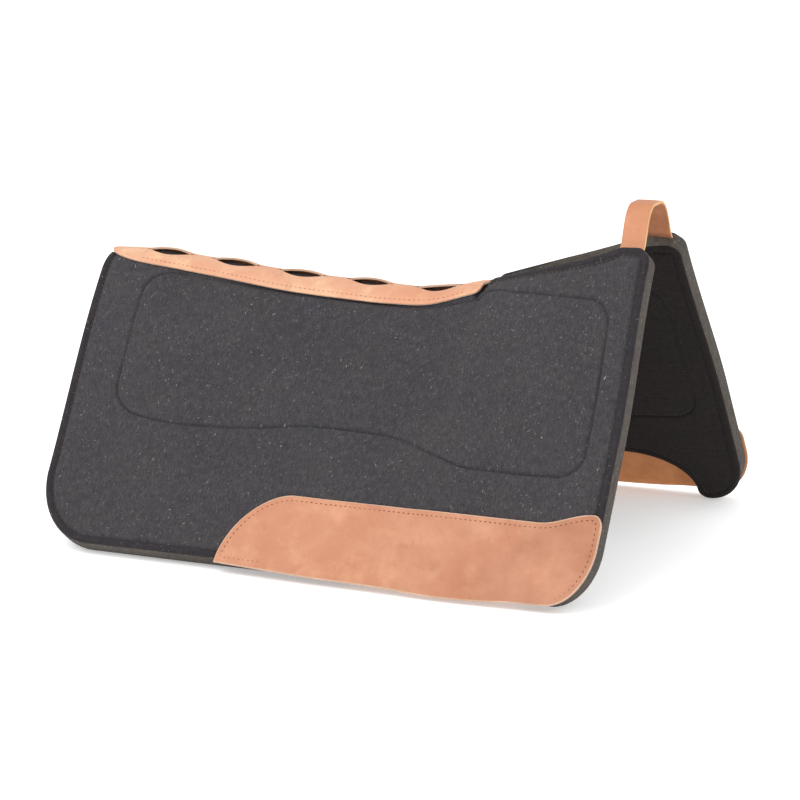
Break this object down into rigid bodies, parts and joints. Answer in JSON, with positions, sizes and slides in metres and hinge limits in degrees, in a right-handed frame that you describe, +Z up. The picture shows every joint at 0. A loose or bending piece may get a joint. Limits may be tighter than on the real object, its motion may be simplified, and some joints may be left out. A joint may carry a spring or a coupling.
{
  "type": "saddle pad",
  "caption": "Contoured western saddle pad of thick dark felt, with a vented leather spine strip, a leather withers loop and leather wear patches; the panels fold along the spine.",
  "frame": {"origin": "under the middle of the standing pad, on the surface it stands on", "axes": "+X towards the withers (the pad's front), +Y towards the left panel, +Z up"},
  "size_m": [0.7315, 0.558, 0.4111],
  "materials": {
    "outer_felt": "charcoal needled wool felt with pale fibre flecks",
    "core_felt": "grey needled felt",
    "insert_foam": null,
    "lining_felt": "near black needled felt",
    "edge_tape": "grey felt tape",
    "dark_thread": "bonded dark thread",
    "wear_leather": "undyed vegetable tanned leather",
    "tan_thread": "waxed tan thread",
    "spine_leather": "undyed vegetable tanned leather",
    "loop_leather": "undyed vegetable tanned leather"
  },
  "bodies": {
    "right_panel": {"right_outer_felt": "outer_felt", "right_core_felt": "core_felt", "right_impact_insert": "insert_foam", "right_lining_felt": "lining_felt", "right_edge_binding": "edge_tape", "right_edge_top_thread": "dark_thread", "right_edge_bobbin_thread": "dark_thread", "right_quilt_top_thread": "dark_thread", "right_quilt_bobbin_thread": "dark_thread", "right_wear_leather": "wear_leather", "right_wear_leather_thread": "tan_thread", "spine_leather": "spine_leather", "spine_thread_right": "tan_thread", "withers_loop": "loop_leather"},
    "left_panel": {"left_outer_felt": "outer_felt", "left_core_felt": "core_felt", "left_impact_insert": "insert_foam", "left_lining_felt": "lining_felt", "left_edge_binding": "edge_tape", "left_edge_top_thread": "dark_thread", "left_edge_bobbin_thread": "dark_thread", "left_quilt_top_thread": "dark_thread", "left_quilt_bobbin_thread": "dark_thread", "left_wear_leather": "wear_leather", "left_wear_leather_thread": "tan_thread", "spine_thread_left": "tan_thread"}
  },
  "joints": [
    {"name": "spine_fold", "type": "hinge", "parent": "right_panel", "child": "left_panel", "pos_m": [0, 0, 0.296], "axis": [1, 0, 0], "range_deg": [-24, 40], "deforming": ["spine_leather", "withers_loop"]}
  ]
}
